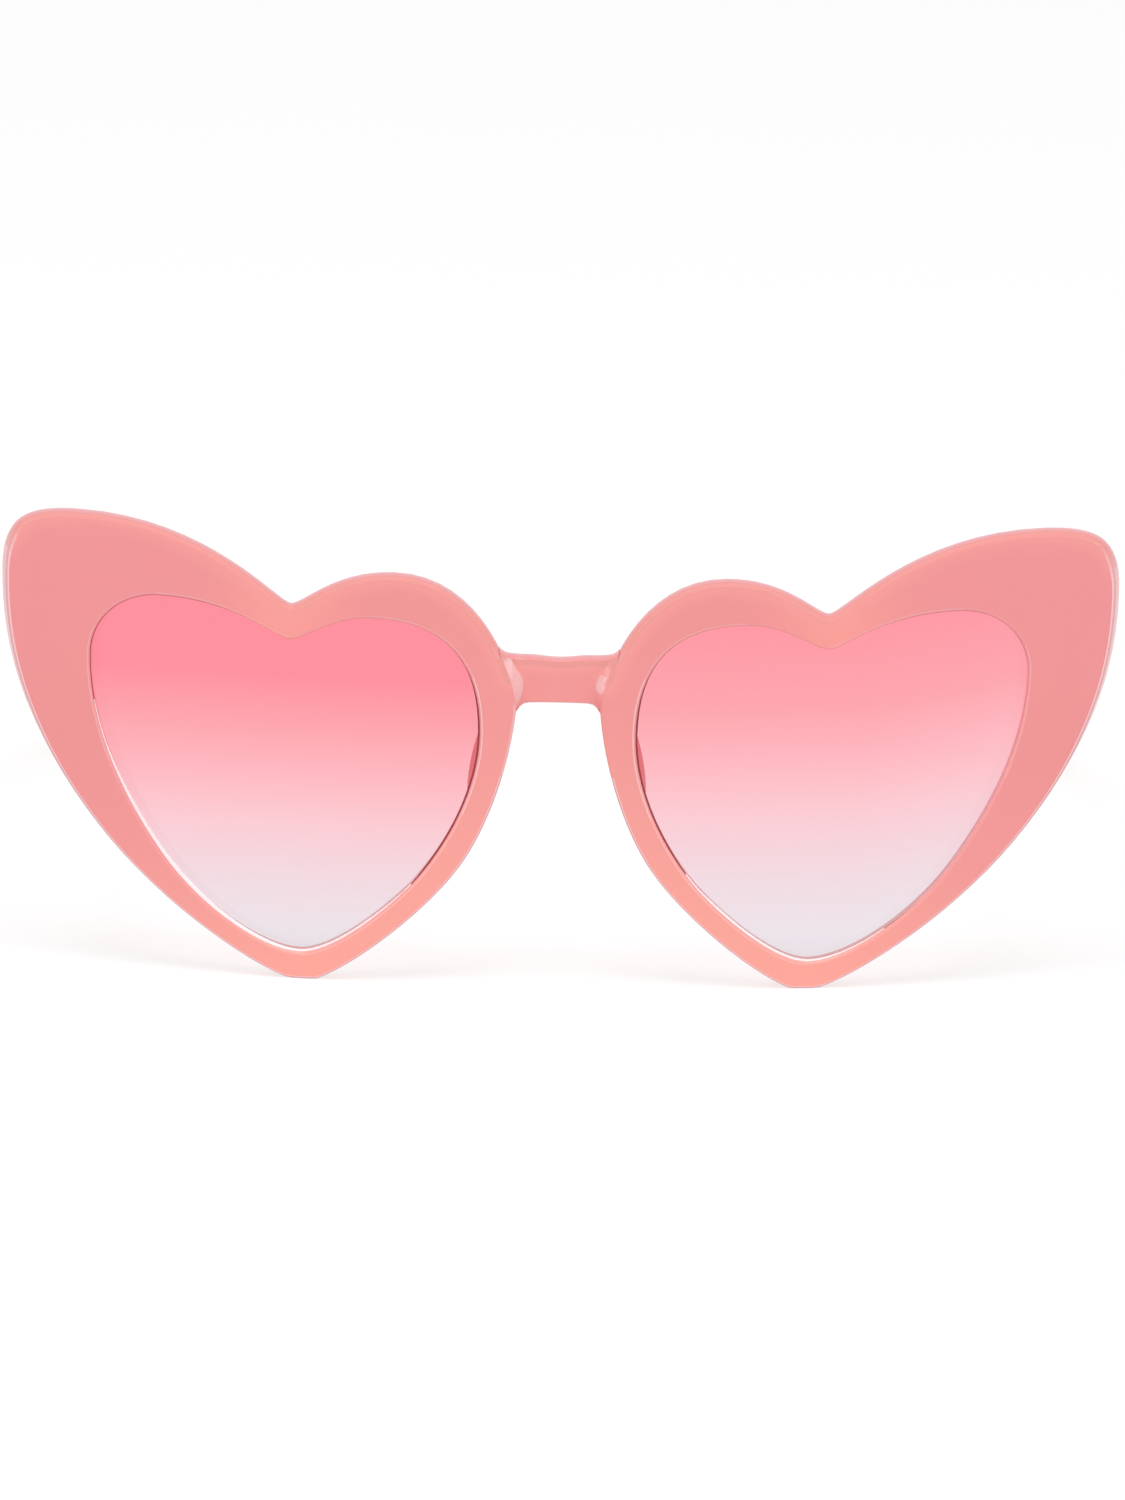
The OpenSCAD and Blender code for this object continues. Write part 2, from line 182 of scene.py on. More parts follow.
# How a temple narrows along its length, how much its end swells, how far its bend is pulled to the corner,
# how far ahead of the hinge its outline starts, and how much the edges of its front end are rounded
TAPER_SHARES = [(0, 0), (0.15, 0.08), (0.6, 0.72), (1, 1)]
TIP_SWELL_SHARE, BEND_PULL_SHARE, LEAD_SHARE, BUTT_ROUND_SHARE = 1.06, 0.6, -0.05, 0.3

# Points along each curve, and cuts between an opening and the outline round it
CURVE_STEPS, BAND_CUTS = 16, 5

WHITE = (1, 1, 1, 1)
# The paper's width in metres, how bright it glows, and how grey the part is that takes the shadow
PAPER_W, PAPER_GLOW, PAPER_GREY = 8, 0.72, 0.34
# The soft lamps: place, width and height in metres, and power in watts
LAMPS = {
    "overhead_softbox": ((0, -0.5, 1.5), (1.0, 0.7), 10),
    "left_softbox": ((-1.3, -0.9, 0.35), (0.7, 0.9), 4.5),
    "right_softbox": ((1.3, -0.9, 0.35), (0.7, 0.9), 4.5),
}
# How far behind the face the camera points, and the height of its sensor in millimetres
AIM_DEPTH, SENSOR_H = 2.35 * MM, 36


def to_linear(channel):
    return channel / 12.92 if channel <= 0.04045 else ((channel + 0.055) / 1.055) ** 2.4


def colour(code):
    """An sRGB hex code as a linear colour."""
    return tuple(to_linear(int(code[i:i + 2], 16) / 255) for i in (0, 2, 4))


def length(name, description, millimetres, low=0.0):
    return FloatProperty(name=name, description=description, default=millimetres * MM, min=low, unit="LENGTH")


def angle(name, description, degrees):
    return FloatProperty(name=name, description=description, default=math.radians(degrees), unit="ROTATION")


def paint(name, description, code):
    return FloatVectorProperty(name=name, description=description, default=colour(code),
                               subtype="COLOR", size=3, min=0, max=1)


class SunglassesSizes(bpy.types.PropertyGroup):
    lens_w: length("Lens width", "Width of a lens opening", 51.9)
    lens_h: length("Lens height", "Height of a lens opening", 47.25)
    lens_gap: length("Lens gap", "Distance between the lens openings", 20.6)
    lens_t: length("Lens thickness", "Thickness of a lens", 1.8)
    lens_in: length("Lens depth", "How far a lens lies behind the face of the front", 1)
    lens_hold: length("Lens hold", "How far a lens reaches into the rim", 0.6)
    dip_lift: length("Dip lift", "How much higher the left lens's tint ends", 1.2)
    dip_stretch: length("Dip stretch", "How much longer the left lens's tint fades", 3.8)
    dip_tilt: length("Dip tilt", "How much less deep the left lens was dipped at its outer side", 4)
    front_t: length("Front thickness", "Thickness of the front", 3.8)
    bend_r: length("Bend radius", "Radius that the front is bent to", 250)
    rim_w: length("Rim width", "Width of the rim beside the nose", 5)
    brow_w: length("Brow width", "Height of the brow on the nose side", 6)
    wing_w: length("Wing width", "Width of a wing beside the lens", 12)
    wing_rise: length("Wing rise", "Height of a wing over the lens", 10.3)
    tip_flat: length("Tip flat", "Depth of the flat at each heart tip", 0.35)
    outer_round: length("Outer edge", "Rounding of the front's outer edges", 0.42)
    side_round: length("Wing edge", "Rounding of the edges at the wings' sides", 0.6)
    top_round: length("Top edge", "Rounding of the edges that face up", 0.8)
    opening_round: length("Opening edge", "Rounding of the edges of the lens openings", 0.5)
    wing_draft: length("Wing draft", "How far a wing's side slopes in towards its face", 0.6)
    bridge_h: length("Bridge height", "Height of the bridge bar", 5.9)
    bridge_in: length("Bridge depth", "How far the bridge lies behind the rims", 1)
    facet_w: length("Facet width", "Width of the wider slanted end of the bridge", 1.9)
    pad_len: length("Pad length", "Length of a nose pad", 15)
    pad_reach: length("Pad reach", "Reach of a nose pad behind the front", 6)
    pad_t: length("Pad thickness", "Thickness of a nose pad", 1.8)
    pad_splay: angle("Pad splay", "Angle that a nose pad opens", 18)
    pad_lean: angle("Pad lean", "Angle that a nose pad leans", 15)
    seat_margin: length("Seat margin", "Border of a hinge seat round its leaf", 1.2)
    seat_round: length("Seat rounding", "Corner radius of a hinge seat", 2.5)
    seat_out: length("Seat depth", "How far a hinge seat stands behind the wing", 2.5)
    temple_t: length("Temple thickness", "Thickness of a temple", 3.6)
    temple_h: length("Temple height", "Height of a temple at its hinge", 11.5)
    temple_ear_h: length("Ear height", "Height of a temple in front of the ear", 7)
    temple_len: length("Temple length", "Length from the hinge to the bend", 100)
    temple_inset: length("Temple inset", "Distance from the wing's edge in to the temple", 2.2)
    temple_round: length("Temple edge", "Rounding of a temple's long edges", 0.95)
    bend_len: length("Bend length", "Length of the bend on each side of its corner", 14)
    tip_r: length("Tip radius", "Radius of a temple's rounded end", 3.6)
    hinge_set: length("Hinge set", "Distance from the hinge's axis to the seat", 1.62)
    butt_gap: length("Butt gap", "Gap between a temple's end and its seat", 0.15)
    temple_slope: angle("Temple slope", "Slope of a temple down to the ear", 9.5)
    drop_slope: angle("Drop slope", "Slope behind the ear", 45)
    temple_close: angle("Temple closing", "Angle that a temple closes in", 1.2)


class SunglassesFinish(bpy.types.PropertyGroup):
    # Wing pink holds a painted reflection, as the bent wings face another way.
    wing_pink: paint("Wing pink", "Frame plastic at the top of the wings", "F29194")
    brow_pink: paint("Brow pink", "Frame plastic at the brows", "F19191")
    cleft_lit_pink: paint("Cleft pink", "Frame plastic where the two lobes of a heart meet", "FC9A93")
    rim_pink: paint("Rim pink", "Frame plastic at the middle of the rims", "F49694")
    tip_pink: paint("Tip pink", "Frame plastic at the heart tips", "FDA598")
    # The next three paint light onto the rounded edges: a highlight, shade where they turn aside, and a pale
    # reflection.
    edge_highlight_pink: paint("Edge pink", "Frame plastic on the rounded edges", "FFCCCC")
    side_shade_pink: paint("Side pink", "Frame plastic on rounded edges that turn aside", "E2A2A8")
    far_reflection_pink: paint("Far pink", "Frame plastic on rounded edges that turn far aside", "F6D8DC")
    # The next four paint light from above: warmer just under and on the edges that face up, and a pale sheen
    # on top.
    top_lit_pink: paint("Bloom pink", "Frame plastic just below the edges that face up", "F99E98")
    ridge_lit_pink: paint("Ridge pink", "Frame plastic on the rounding of the edges that face up", "EF9992")
    ledge_lit_pink: paint("Ledge pink", "Frame plastic at the front of the sides that face up", "F29A9D")
    top_sheen_pink: paint("Top pink", "Frame plastic on the edges that face up", "EEC0C2")
    lens_top: paint("Lens top", "Look of the top of a lens on white", "FE93A0")
    lens_upper: paint("Lens upper", "Look of a lens a third down, on white", "FDA8B1")
    lens_middle: paint("Lens middle", "Look of the middle of a lens on white", "FEBAC2")
    lens_lower: paint("Lens lower", "Look of a lens a third up, on white", "FACDD5")
    lens_low: paint("Lens low", "Look of a lens a fifth up, on white", "F2DAE1")
    lens_bottom: paint("Lens bottom", "Look of the bottom of a lens on white", "EBE6EC")
    # The two lens edge colours are painted light: a white reflection of the light and the groove's shadow.
    edge_reflection_white: paint("Ground edge", "The ground edge of a lens", "FFF3F4")
    groove_shade: paint("Groove shade", "The edge of a lens in its groove", "902028")
    steel: paint("Hinge steel", "Hinge leaves and screws", "C6C6CB")


class SunglassesStage(bpy.types.PropertyGroup):
    elevation: angle("Camera elevation", "How far the camera looks down", 12)
    roll: angle("Camera roll", "How far the camera is rolled", 1.135)
    distance: length("Camera distance", "Distance from the front", 3000)
    view_h: length("View height", "Height of the picture at the front", 198.545)
    aim_x: length("Aim across", "Where the camera points, across", 0.68, low=-1)
    aim_z: length("Aim up", "Where the camera points, above the floor", 31.67)
    ambient: FloatProperty(name="Ambient", description="Strength of the light from all round", default=0.52)
    paper: paint("Paper", "Floor and backdrop", "F7F7F8")


def setback(s, x):
    return s.bend_r - math.sqrt(s.bend_r ** 2 - x * x)


class Places:
    """Where the parts of the front lie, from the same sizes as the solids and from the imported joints."""

    def __init__(self, s):
        self.nasal_x = s.lens_gap / 2
        self.rim_foot = RIM_TIP_SHARE * s.rim_w - s.tip_flat
        self.half_gap = self.nasal_x - s.rim_w
        self.out_x = self.nasal_x + s.lens_w + s.wing_w - s.temple_inset
        self.hinge = Vector(next(j["pos_m"] for j in frame["joints"] if j["child"] == "left_arm"))
        self.seat_y = self.hinge.y - s.hinge_set
        self.face_y = self.seat_y - setback(s, self.out_x) - s.front_t - s.seat_out
        self.bridge_z = self.rim_foot + BRIDGE_Z_SHARE * s.lens_h
        self.leaf_end_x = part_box("left_front_leaf")[0].x
        self.lens_middle = Vector((self.nasal_x + s.lens_w / 2, 0, self.rim_foot + s.lens_h / 2))

    def rows(self, s, shares, side=0.0, rise=0.0):
        """The places that the shares of the lens and of a border of this size give."""
        return [(self.nasal_x + r[0] * s.lens_w + (r[2] * side if side else 0),
                 self.rim_foot + r[1] * s.lens_h + (r[3] * rise if rise else 0)) for r in shares]


def on_curve(pulls, t):
    """A point of a curve between two corners with a handle each."""
    weights = ((1 - t) ** 3, 3 * (1 - t) ** 2 * t, 3 * (1 - t) * t * t, t ** 3)
    return tuple(sum(weight * pull[k] for weight, pull in zip(weights, pulls)) for k in (0, 1))


def chain(rows, closed=True, steps=CURVE_STEPS):
    """The points of a chain of curves, one row per corner or handle."""
    last = len(rows) - (2 if closed else 3)
    points = [on_curve([rows[(i + k) % len(rows)] for k in range(4)], n / steps)
              for i in range(0, last, 3) for n in range(steps)]
    return points if closed else points + [tuple(rows[-1])]


def between(table, at):
    """The value at a share, on straight lines between the table's rows."""
    if at <= table[0][0]:
        return table[0][1]
    for (a, low), (b, high) in zip(table, table[1:]):
        if at <= b:
            return low + (high - low) * (at - a) / (b - a)
    return table[-1][1]


def share_past(value, start, width):
    """How far a value is past a start, as a share of a width, from 0 to 1."""
    return min(max((value - start) / width, 0), 1)


def lens_points(s, at):
    return chain(at.rows(s, LENS_SHARES))


def heart_points(s, at):
    return chain(at.rows(s, CLEFT_SHARES, s.brow_w, s.brow_w) + at.rows(s, WING_SHARES, s.wing_w, s.wing_rise)
                 + at.rows(s, RIM_SHARES, s.rim_w, s.rim_w) + at.rows(s, BROW_SHARES, s.brow_w, s.brow_w))


def grown(points, amount):
    """A closed clockwise outline moved outwards."""
    out = []
    for i, point in enumerate(points):
        before, after = points[i - 1], points[(i + 1) % len(points)]
        way = Vector((after[0] - before[0], after[1] - before[1])).normalized()
        out.append((point[0] - way.y * amount, point[1] + way.x * amount))
    return out


def pick(*pieces):
    """Selects only these pieces, and makes the first one active."""
    bpy.ops.object.select_all(action="DESELECT")
    for piece in pieces:
        piece.select_set(True)
    bpy.context.view_layer.objects.active = pieces[0]


def edit(piece, action="SELECT", mode="VERT"):
    pick(piece)
    bpy.ops.object.mode_set(mode="EDIT")
    bpy.ops.mesh.select_mode(type=mode)
    bpy.ops.mesh.select_all(action=action)


def done():
    bpy.ops.object.mode_set(mode="OBJECT")


def fresh(add, **settings):
    """Adds an object with nothing else selected."""
    bpy.ops.object.select_all(action="DESELECT")
    add(**settings)
    return bpy.context.object


def draw_outline(name, points, fill="NOTHING"):
    """A circle with a vertex for each point, pulled into the outline, which stands in the XZ plane."""
    piece = fresh(bpy.ops.mesh.primitive_circle_add, vertices=len(points), fill_type=fill)
    piece.name = piece.data.name = name
    for vertex, (x, z) in zip(piece.data.vertices, points):
        vertex.co = (x, 0, z)
    return piece


def ring(name, outer, inner, cuts=0):
    """A flat band between two outlines of as many points."""
    band = draw_outline(name, outer)
    pick(band, draw_outline("opening", inner))
    bpy.ops.object.join()
    edit(band, mode="EDGE")
    bpy.ops.mesh.bridge_edge_loops(number_cuts=cuts, interpolation="LINEAR")
    done()
    return band


def thicken(piece, move):
    """Extrudes a flat piece and turns its faces outwards."""
    edit(piece)
    bpy.ops.mesh.extrude_region_move(TRANSFORM_OT_translate={"value": move})
    bpy.ops.mesh.select_all(action="SELECT")
    bpy.ops.mesh.normals_make_consistent()
    done()


def slice_across(piece, start, width, slices):
    """Cuts a piece into upright slices, so that it can follow the bend."""
    edit(piece)
    for n in range(1, slices):
        bpy.ops.mesh.select_all(action="SELECT")
        bpy.ops.mesh.bisect(plane_co=(start + width * n / slices, 0, 0), plane_no=(1, 0, 0))
    done()


def apply_modifier(piece, kind, **settings):
    pick(piece)
    modifier = piece.modifiers.new(kind.lower(), kind)
    for name, value in settings.items():
        setattr(modifier, name, value)
    bpy.ops.object.modifier_apply(modifier=modifier.name)


def round_edges(piece, width, share_of, segments):
    """Rounds the sharp edges. share_of gives an edge's share of the width from its middle and its faces."""
    mesh = piece.data
    sides = {}
    for face in mesh.polygons:
        for key in face.edge_keys:
            sides.setdefault(key, []).append(face)
    weights = mesh.attributes.new("bevel_weight_edge", "FLOAT", "EDGE")
    for edge in mesh.edges:
        faces = sides.get(edge.key, [])
        if len(faces) == 2 and faces[0].normal.angle(faces[1].normal) > SHARP_ANGLE:
            middle = (mesh.vertices[edge.vertices[0]].co + mesh.vertices[edge.vertices[1]].co) / 2
            weights.data[edge.index].value = share_of(middle, faces)
    apply_modifier(piece, "BEVEL", limit_method="WEIGHT", width=width, segments=segments)
    left = piece.data.attributes.get("bevel_weight_edge")
    if left:
        piece.data.attributes.remove(left)


def bend(piece, s, at):
    """Moves a flat piece, whose y is the depth behind the face, onto the bent front."""
    for vertex in piece.data.vertices:
        x, depth = vertex.co.x, vertex.co.y
        vertex.co.y = at.face_y + s.bend_r - math.sqrt((s.bend_r - depth) ** 2 - x * x)


def unite(piece, others, operation="UNION"):
    """Joins other solids to a piece, or cuts them from it, and deletes them."""
    for other in others:
        apply_modifier(piece, "BOOLEAN", operation=operation, object=other, solver="EXACT")
        bpy.data.objects.remove(other)


def mirrored(piece, name):
    """A copy of a piece on the other side of the nose."""
    pick(piece)
    bpy.ops.object.duplicate()
    copy = bpy.context.object
    copy.name = copy.data.name = name
    copy.data.transform(Matrix.Scale(-1, 4, (1, 0, 0)))
    edit(copy)
    bpy.ops.mesh.normals_make_consistent()
    done()
    return copy


def shade(piece):
    """Smooth shading with crisp flats."""
    pick(piece)
    bpy.ops.object.shade_smooth_by_angle(angle=SMOOTH_ANGLE)
    apply_modifier(piece, "WEIGHTED_NORMAL", keep_sharp=True)


def cover(piece, materials, body, slot, *nodes):
    """Gives a finished piece its materials and its body, and hides the solids that it stands for. The slot is
    not used.
    """
    for material in materials:
        piece.data.materials.append(material)
    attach(piece, body)
    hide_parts(*nodes)


def per_metre(millimetres):
    """The scale that gives a pattern features of this size."""
    return 1000 / millimetres


def add_node(tree, kind, values=None, links=None, **settings):
    """Adds a node with its settings, its inputs' values, and the node or (node, output) linked to each."""
    node = tree.nodes.new(kind)
    for name, value in settings.items():
        setattr(node, name, value)
    for name, value in (values or {}).items():
        node.inputs[name].default_value = value
    for name, source in (links or {}).items():
        source, output = source if isinstance(source, tuple) else (source, 0)
        tree.links.new(source.outputs[output], node.inputs[name])
    return node


def new_material(name):
    material = bpy.data.materials.new(name)
    material.use_nodes = True
    material.node_tree.nodes.clear()
    return material, material.node_tree


def opaque(value):
    """A colour with the alpha that a socket takes."""
    return tuple(value) + (1,)


def set_ramp(ramp, *stops):
    """Gives a ramp the place and the colour of each stop."""
    elements = ramp.color_ramp.elements
    while len(elements) < len(stops):
        elements.new(1.0)
    for element, (share, value) in zip(elements, stops):
        element.position, element.color = share, opaque(value)


def moulded_polycarbonate():
    """Injection-moulded polycarbonate, tumbled to a polish: opaque pink, painted slightly cooler at the wings
    as a reflection, with painted highlights, shade and light on its edges, a soft clear shine, and the faint
    waviness of a moulded face."""
    name = "moulded_pink_polycarbonate"
    if name in bpy.data.materials:
        return bpy.data.materials[name]
    finish = bpy.context.scene.sunglasses_finish
    material, tree = new_material(name)
    place = add_node(tree, "ShaderNodeTexCoord")
    axes = add_node(tree, "ShaderNodeSeparateXYZ", links={0: (place, "Object")})
    # The pink is painted cooler upwards and, less, outwards; at the bent wings this is a painted reflection.
    height = add_node(tree, "ShaderNodeMapRange", values={"From Max": CAD_BOX[1][2], "To Max": 0.7},
                      links={"Value": (axes, "Z")})
    aside = add_node(tree, "ShaderNodeMath", operation="ABSOLUTE", links={0: (axes, "X")})
    across = add_node(tree, "ShaderNodeMapRange", values={"From Max": CAD_BOX[1][0], "To Max": 0.3},
                      links={"Value": aside})
    outwards = add_node(tree, "ShaderNodeMath", operation="ADD", links={0: height, 1: across})
    tone = add_node(tree, "ShaderNodeValToRGB", links={"Fac": outwards})
    set_ramp(tone, (0.17, finish.tip_pink), (0.42, finish.rim_pink), (0.64, finish.brow_pink),
             (0.85, finish.wing_pink))
    # A warmer painted highlight lies where the two lobes of a heart meet.
    folded = add_node(tree, "ShaderNodeCombineXYZ", links={"X": aside, "Z": (axes, "Z")})
    away = add_node(tree, "ShaderNodeVectorMath", operation="DISTANCE", values={1: (CLEFT_X, 0, CLEFT_Z)},
                    links={0: folded})
    close = add_node(tree, "ShaderNodeMapRange", interpolation_type="SMOOTHSTEP",
                     values={"From Min": CLEFT_REACH, "From Max": 0.0}, links={"Value": (away, "Value")})
    cleft_lit = add_node(tree, "ShaderNodeMix", data_type="RGBA", values={7: opaque(finish.cleft_lit_pink)},
                      links={0: close, 6: tone})
    # The pigment drifts a little over about 9 mm, the polish varies over 4 mm, and the moulded face has dips
    # 1.5 mm apart and a few micrometres deep.
    drift, rub, wave = (add_node(tree, "ShaderNodeTexNoise", links={"Vector": (place, "Object")},
                                 values={"Scale": per_metre(size), "Detail": detail})
                        for size, detail in ((9, 2.0), (4, 4.0), (1.5, 1.0)))
    swing = add_node(tree, "ShaderNodeMapRange", values={"To Min": 0.985, "To Max": 1.015},
                     links={"Value": drift})
    mixed = add_node(tree, "ShaderNodeHueSaturation", links={"Color": (cleft_lit, 2), "Value": swing})
    # Rounded edges get painted highlight, shade and reflection, and those facing up warmer painted light and
    # satin.
    edge, turn, near, top = (add_node(tree, "ShaderNodeAttribute", attribute_name=mark)
                             for mark in (EDGE_LIGHT_MARK, TURN_MARK, TOP_LIGHT_MARK, SATIN_MARK))
    # The ramp paints a highlight near the face, shade further round and a pale reflection far round.
    edge_lights = add_node(tree, "ShaderNodeValToRGB", links={"Fac": (turn, "Fac")})
    set_ramp(edge_lights, (0.06, finish.edge_highlight_pink), (0.12, finish.side_shade_pink), (0.4, finish.side_shade_pink),
             (0.65, finish.far_reflection_pink))
    # The painted light from above: warmer pink near the edges that face up, and a pale sheen on them.
    part = add_node(tree, "ShaderNodeMapRange", values={"From Max": TOP_LIGHT_SPLIT},
                    links={"Value": (near, "Fac")})
    tops = add_node(tree, "ShaderNodeValToRGB", links={"Fac": (near, "Fac")})
    set_ramp(tops, (0.33, finish.top_lit_pink), (0.39, finish.ridge_lit_pink), (0.55, finish.ridge_lit_pink),
             (0.62, finish.ledge_lit_pink), (1, finish.top_sheen_pink))
    top_lit = add_node(tree, "ShaderNodeMix", data_type="RGBA", links={0: part, 6: mixed, 7: tops})
    edge_lit = add_node(tree, "ShaderNodeMix", data_type="RGBA",
                    links={0: (edge, "Fac"), 6: (top_lit, 2), 7: edge_lights})
    polish = add_node(tree, "ShaderNodeMapRange", values={"To Min": 0.17, "To Max": 0.27},
                      links={"Value": rub})
    satin = add_node(tree, "ShaderNodeMix", values={3: 0.65}, links={0: (top, "Fac"), 2: polish})
    bump = add_node(tree, "ShaderNodeBump", values={"Strength": 0.25, "Distance": 0.03 * MM},
                    links={"Height": wave})
    skin = add_node(tree, "ShaderNodeBsdfPrincipled", values={"IOR": 1.58},
                    links={"Base Color": (edge_lit, 2), "Roughness": satin, "Normal": bump})
    add_node(tree, "ShaderNodeOutputMaterial", links={"Surface": skin})
    return material


def graded_polycarbonate(side, low, high, full, tilt, tilt_x):
    """Dip-dyed clear polycarbonate: each face takes half the dye, which runs out towards the bottom,
    under a hard smooth surface that mirrors a little."""
    finish = bpy.context.scene.sunglasses_finish
    material, tree = new_material(side + "_dip_dyed_polycarbonate")
    place = add_node(tree, "ShaderNodeTexCoord")
    axes = add_node(tree, "ShaderNodeSeparateXYZ", links={0: (place, "Object")})
    # The dye line wanders up and down over about 25 mm.
    wander = add_node(tree, "ShaderNodeTexNoise", values={"Scale": per_metre(25), "Detail": 1.0},
                      links={"Vector": (place, "Object")})
    shift = add_node(tree, "ShaderNodeMapRange", values={"To Min": -DYE_WANDER, "To Max": DYE_WANDER},
                     links={"Value": wander})
    wandered = add_node(tree, "ShaderNodeMath", operation="ADD", links={0: (axes, "Z"), 1: shift})
    rise = add_node(tree, "ShaderNodeMapRange", links={"Value": (axes, "X")},
                    values={"From Min": tilt_x, "From Max": tilt_x + TILT_W, "To Max": tilt})
    level = add_node(tree, "ShaderNodeMath", operation="SUBTRACT", links={0: wandered, 1: rise})
    height = add_node(tree, "ShaderNodeMapRange", values={"From Min": low, "From Max": high},
                      links={"Value": level})
    dye = add_node(tree, "ShaderNodeValToRGB", links={"Fac": height})
    tints = ((0.05, finish.lens_bottom), (0.217, finish.lens_low), (0.357, finish.lens_lower),
             (0.5, finish.lens_middle), (0.636, finish.lens_upper), (full, finish.lens_top))
    set_ramp(dye, *((share, half_dye(tint)) for share, tint in tints))
    clear = add_node(tree, "ShaderNodeBsdfTransparent", links={"Color": dye})
    gloss = add_node(tree, "ShaderNodeBsdfAnisotropic", values={"Roughness": 0.03})
    # How much polycarbonate mirrors: a twentieth when seen straight on, and all at a grazing view
    slant = add_node(tree, "ShaderNodeLayerWeight")
    steep = add_node(tree, "ShaderNodeMath", operation="POWER", values={1: 5.0}, links={0: (slant, "Facing")})
    mirror = add_node(tree, "ShaderNodeMapRange", values={"To Min": LENS_MIRROR}, links={"Value": steep})
    both = add_node(tree, "ShaderNodeMixShader", links={0: mirror, 1: clear, 2: gloss})
    add_node(tree, "ShaderNodeOutputMaterial", links={"Surface": both})
    return material


def half_dye(tint):
    """The colour of one face of a lens, of which two make the tint that the eye sees on white."""
    return tuple(math.sqrt(max(channel - LENS_MIRROR, 0) / (1 - LENS_MIRROR)) for channel in tint)


def lens_edge(name, shade_of, roughness):
    """The edge of a polycarbonate lens, matt, with marks about 0.5 mm apart, in a colour painted as a
    reflection of the light where it is white and as the groove's shadow where it is dark.
    """
    material, tree = new_material(name)
    place = add_node(tree, "ShaderNodeTexCoord")
    marks = add_node(tree, "ShaderNodeTexNoise", values={"Scale": per_metre(0.5), "Detail": 2.0},
                     links={"Vector": (place, "Object")})
    swing = add_node(tree, "ShaderNodeMapRange", values={"To Min": 0.93, "To Max": 1.03},
                     links={"Value": marks})
    painted_edge = add_node(tree, "ShaderNodeHueSaturation", values={"Color": opaque(shade_of)},
                      links={"Value": swing})
    skin = add_node(tree, "ShaderNodeBsdfPrincipled", values={"IOR": 1.58, "Roughness": roughness},
                    links={"Base Color": painted_edge})
    add_node(tree, "ShaderNodeOutputMaterial", links={"Surface": skin})
    return material


def turned_steel():
    """Stainless steel, stamped and turned: grey, with tool lines about 0.15 mm apart that blur the shine."""
    finish = bpy.context.scene.sunglasses_finish
    material, tree = new_material("turned_stainless_steel")
    place = add_node(tree, "ShaderNodeTexCoord")
    stretch = add_node(tree, "ShaderNodeMapping", values={"Scale": (1, 1, 8)},
                       links={"Vector": (place, "Object")})
    lines = add_node(tree, "ShaderNodeTexNoise", values={"Scale": per_metre(1.2), "Detail": 3.0},
                     links={"Vector": stretch})
    rough = add_node(tree, "ShaderNodeMapRange", values={"To Min": 0.24, "To Max": 0.42},
                     links={"Value": lines})
    bump = add_node(tree, "ShaderNodeBump", values={"Strength": 0.3, "Distance": 0.01 * MM},
                    links={"Height": lines})
    metal = add_node(tree, "ShaderNodeBsdfPrincipled",
                     values={"Base Color": opaque(finish.steel), "Metallic": 1.0},
                     links={"Roughness": rough, "Normal": bump})
    add_node(tree, "ShaderNodeOutputMaterial", links={"Surface": metal})
    return material


